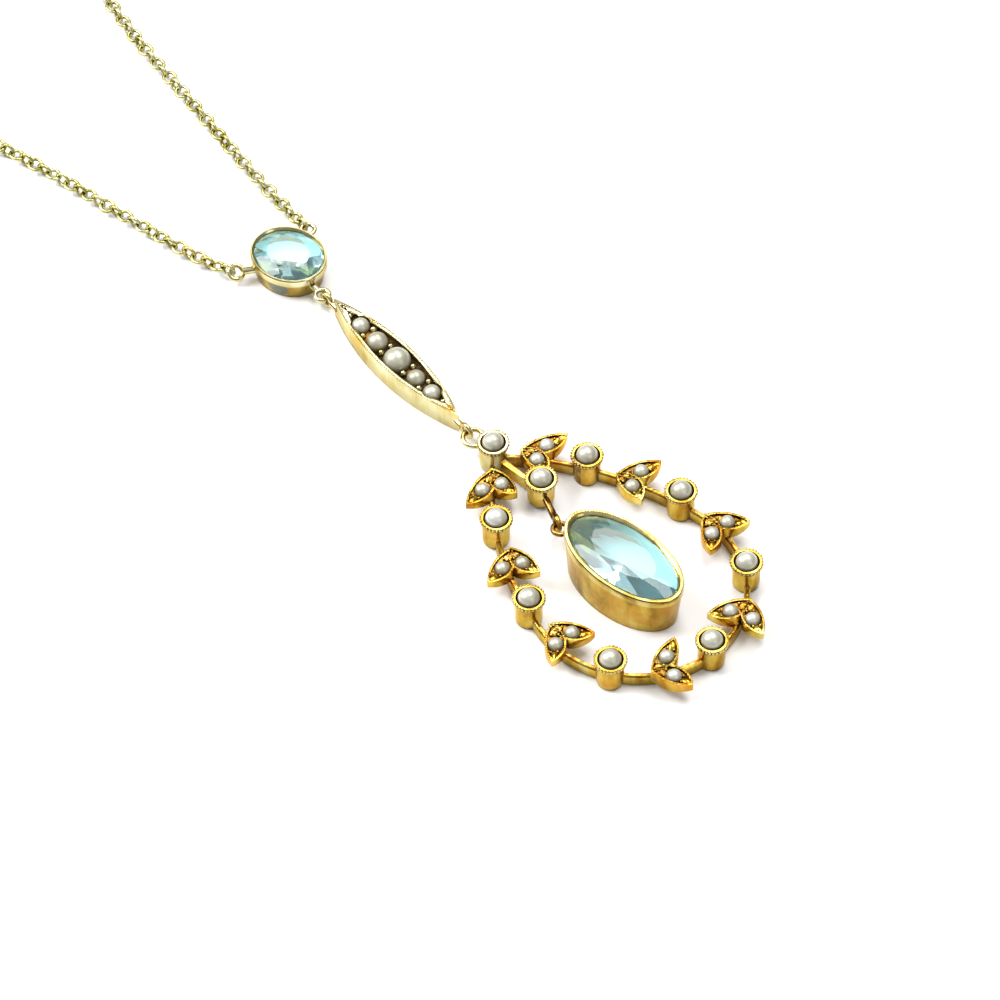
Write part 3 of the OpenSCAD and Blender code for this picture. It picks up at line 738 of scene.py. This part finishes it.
def makeLeafGrains():
    luck = random.Random(17)
    pattern = beadPattern(leaf["grain"], 2, (1, 1, leaf["grainTall"]))
    alongStray, asideStray = leaf["grainAstray"]
    things = []
    for number in range(1, leaf["pearls"] + 1):
        for share, aside, size in leaf["grains"]:
            spot = onLeaf(number, share + luck.uniform(-alongStray, alongStray),
                          aside + luck.uniform(-asideStray, asideStray), leaf["floor"] + leaf["grainRise"])
            turn = Matrix.Rotation(luck.uniform(0, 3), 4, "Z")
            things.append(placeCopy(pattern, Matrix.Translation(spot * mm) @ turn @ Matrix.Scale(size, 4)))
    drop(pattern)
    return finishPiece(joinAll(things, "leafGrains"), gold, "gold")


def alongLeaf(number, share, step=0.03):
    ahead = onLeaf(number, share + step, 0, 0) - onLeaf(number, share - step, 0, 0)
    return math.atan2(ahead.y, ahead.x)


def makeLeafLumps(name, lump, material):
    things = []
    for number in range(1, leaf["pearls"] + 1):
        size = (leafFrame(number)[2] * lump["long"], leaf["wide"] * lump["wide"], lump["tall"])
        blob = shapedBlob(size, number * 7 + len(things), lump["rough"], lump["level"])
        turn = Matrix.Rotation(alongLeaf(number, lump["at"]), 4, "Z")
        turn = turn @ Matrix.Rotation(math.radians(lump["lean"]), 4, "Y")
        spot = onLeaf(number, lump["at"], 0, leaf["floor"] + lumpRise)
        blob.matrix_world = Matrix.Translation(spot * mm) @ turn
        things.append(blob)
    piece = joinAll(things, name)
    smoothByAngle(piece, lump["smooth"])
    return finishPiece(piece, material, "gold")


def makeLeafEdges():
    # the border of each leaf, uneven from the graver
    luck = random.Random(29)
    pattern = beadPattern(leaf["edge"], 2, leaf["edgeShape"])
    things = []

    def borderAt(side, share):
        return side * (leaf["wide"] / 2 * (1 - (2 * share - 1) ** 2) - leaf["lean"])

    for number in range(1, leaf["pearls"] + 1):
        for side in (-1, 1):
            for i in range(1, leaf["edges"]):
                share = i / leaf["edges"]
                aside = borderAt(side, share)
                if side * aside < leaf["edgeGap"]:
                    continue
                height = leaf["top"] - leaf["edgeSunk"] + luck.uniform(*leaf["edgeLift"])
                spot = onLeaf(number, share, aside, height)
                further = share + leaf["step"]
                ahead = onLeaf(number, further, borderAt(side, further), 0)
                heading = math.atan2(ahead.y - spot.y, ahead.x - spot.x)
                turn = Matrix.Rotation(heading + luck.uniform(-leaf["edgeTurn"], leaf["edgeTurn"]), 4, "Z")
                size = luck.uniform(*leaf["edgeSizes"])
                things.append(placeCopy(pattern, Matrix.Translation(spot * mm) @ turn @ Matrix.Scale(size, 4)))
    drop(pattern)
    return finishPiece(joinAll(things, "leafEdges"), gold, "gold")


makeLeafLumps("leafFacets", leafLumps["tip"], gold)  # bright-cut, rising to the tip
makeLeafLumps("leafBeds", leafLumps["fork"], chasedGold)  # lumpy, chased at the fork
makeLeafEdges()
makeLeafGrains()
print("leaves chased")

# chain: real links along the routes of the two strands, repeated from the CAD source
chain = {
    "pitch": 0.98, "wide": 1.4, "long": 1.56, "wire": 0.31, "around": 14, "wireSides": 6, "steps": 12,
    "roll": 14, "wobble": 5, "claspHeight": 0.72,
    "left": [(-4.3, 31.4, 0.8), (-5.3, 35.2, 0.7), (-6.7, 41.5, 0.7), (-9.5, 53.2, 0.7), (-17, 76, 0.7),
             (-30, 102, 0.7), (-42, 132, 0.7), (-43, 164, 0.7), (-30, 190, 0.7), (-12, 202, 0.7)],
    "right": [(4.4, 31.8, 0.8), (4.8, 36.4, 0.7), (5.8, 45, 0.7), (8, 60.4, 0.7), (14, 82, 0.7),
              (27, 106, 0.7), (40, 134, 0.7), (42, 165, 0.7), (30, 190, 0.7), (12, 202, 0.7)],
    "leftRing": (-3.45, 29.03, 1.07), "rightRing": (4.16, 28.67, 1.07), "firstLink": 0.82, "lastLink": 2.66,
}


def curvePoint(p, t):
    return 0.5 * (2 * p[1] + (p[2] - p[0]) * t + (2 * p[0] - 5 * p[1] + 4 * p[2] - p[3]) * t * t
                  + (3 * p[1] - p[0] - 3 * p[2] + p[3]) * t * t * t)


def smoothRoute(route):
    last = len(route) - 1
    points = []
    for i in range(last):
        four = [route[min(max(j, 0), last)] for j in range(i - 1, i + 3)]
        points += [curvePoint(four, s / chain["steps"]) for s in range(chain["steps"])]
    return points + [route[last]]


def linkPattern():
    bpy.ops.object.select_all(action="DESELECT")
    bpy.ops.mesh.primitive_torus_add(
        major_radius=(chain["wide"] - chain["wire"]) / 2 * mm, minor_radius=chain["wire"] / 2 * mm,
        major_segments=chain["around"], minor_segments=chain["wireSides"])
    link = bpy.context.view_layer.objects.active
    bpy.ops.object.mode_set(mode="EDIT")
    bpy.ops.mesh.select_all(action="SELECT")
    stretch = (chain["long"] - chain["wire"]) / (chain["wide"] - chain["wire"])
    bpy.ops.transform.resize(value=(stretch, 1, 1))
    bpy.ops.object.mode_set(mode="OBJECT")
    bpy.ops.object.shade_smooth()
    return link


def makeStrand(name, node, route, ringMiddle, seed):
    luck = random.Random(seed)
    pattern = linkPattern()
    points = [Vector(p) for p in route]
    ringMiddle = Vector(ringMiddle)
    wayOut = (points[0] - ringMiddle).normalized()
    claspMiddle = middleOf("clasp")
    wayIn = points[-1] - claspMiddle
    wayIn.z = 0
    wayIn.normalize()
    first = ringMiddle + wayOut * chain["firstLink"]
    last = Vector((claspMiddle.x, claspMiddle.y, chain["claspHeight"])) + wayIn * chain["lastLink"]
    path = smoothRoute([first] + points + [last])
    length = sum((b - a).length for a, b in zip(path, path[1:]))
    count = int(round(length / chain["pitch"]))
    count += 1 - count % 2
    spots = evenSpots(path, count)
    things = []
    for i, spot in enumerate(spots):
        along = (spots[min(i + 1, count - 1)] - spots[max(i - 1, 0)]).normalized()
        side = Vector((0, 0, 1)).cross(along).normalized()
        up = along.cross(side)
        turn = Matrix((along, side, up)).transposed().to_4x4()
        roll = 90 if i % 2 == 0 else 0  # each link stands across its neighbours
        roll += luck.uniform(-chain["roll"], chain["roll"])
        wobble = Matrix.Rotation(math.radians(luck.uniform(-chain["wobble"], chain["wobble"])), 4, "Z")
        place = Matrix.Translation(spot * mm) @ turn @ Matrix.Rotation(math.radians(roll), 4, "X") @ wobble
        things.append(placeCopy(pattern, place))
    drop(pattern)
    print(name, "links", count, "length", round(length, 1))
    return finishPiece(joinAll(things, name), chainGold, "pale_gold", node)


makeStrand("chainLeftLinks", "chain_left", chain["left"], chain["leftRing"], 11)
makeStrand("chainRightLinks", "chain_right", chain["right"], chain["rightRing"], 23)
print("chain linked")

# floor, world and lights, the lights placed from the camera's own right and back
lights = {
    "windowLeft": {"place": (-0.42, 0.1, 0.42), "size": (0.3, 0.4), "power": 4.2},
    "mirrorBox": {"place": (0, 0.487, 0.635), "size": (0.24, 0.22), "power": 1.1},
    "overhead": {"place": (0.12, 0.15, 0.6), "size": (0.35, 0.3), "power": 2.2},
    "frontFill": {"place": (0.4, -0.45, 0.35), "size": (0.25, 0.35), "power": 0.5},
}
lightsAim = Vector((0, 0.01, 0))
paleFloor = {"size": 3, "sunk": 0.02, "colour": (0.93, 0.93, 0.93), "roughness": 0.8, "shine": 0.2}
sky = [(0.0, (0.1, 0.1, 0.1)), (0.3, (0.2, 0.2, 0.2)), (0.5, (0.36, 0.36, 0.36)), (0.7, (0.62, 0.62, 0.62)),
       (1.0, (0.6, 0.6, 0.6))]


def makeFloor():
    bpy.ops.object.select_all(action="DESELECT")
    bpy.ops.mesh.primitive_plane_add(size=paleFloor["size"], location=(0, 0, -paleFloor["sunk"] * mm))
    floor = bpy.context.view_layer.objects.active
    floor.name = "floor"
    bpy.ops.object.transform_apply(location=True, rotation=True, scale=True)
    material, tree, shader = newMaterial("paleFloor")
    shader.inputs["Base Color"].default_value = (*paleFloor["colour"], 1)
    shader.inputs["Roughness"].default_value = paleFloor["roughness"]
    shader.inputs["Specular IOR Level"].default_value = paleFloor["shine"]
    floor.data.materials.append(material)


def softLight(name, place, size, power):
    data = bpy.data.lights.new(name, "AREA")
    data.shape = "RECTANGLE"
    data.size, data.size_y = size
    data.energy = power
    lamp = bpy.data.objects.new(name, data)
    bpy.context.scene.collection.objects.link(lamp)
    lamp.location = toRight * place[0] + toBack * place[1] + Vector((0, 0, place[2]))
    lamp.rotation_euler = (lightsAim - lamp.location).to_track_quat("-Z", "Y").to_euler()


def makeWorld():
    world = bpy.data.worlds.new("studio")
    bpy.context.scene.world = world
    world.use_nodes = True
    tree = world.node_tree
    back = tree.nodes["Background"]
    place = tree.nodes.new("ShaderNodeTexCoord")
    split = tree.nodes.new("ShaderNodeSeparateXYZ")
    tree.links.new(place.outputs["Generated"], split.inputs[0])
    tree.links.new(colourRamp(tree, split.outputs["Z"], sky), back.inputs["Color"])
    back.inputs["Strength"].default_value = 1.0


makeFloor()
makeWorld()
for name, light in lights.items():
    softLight(name, light["place"], light["size"], light["power"])
print("stage lit")
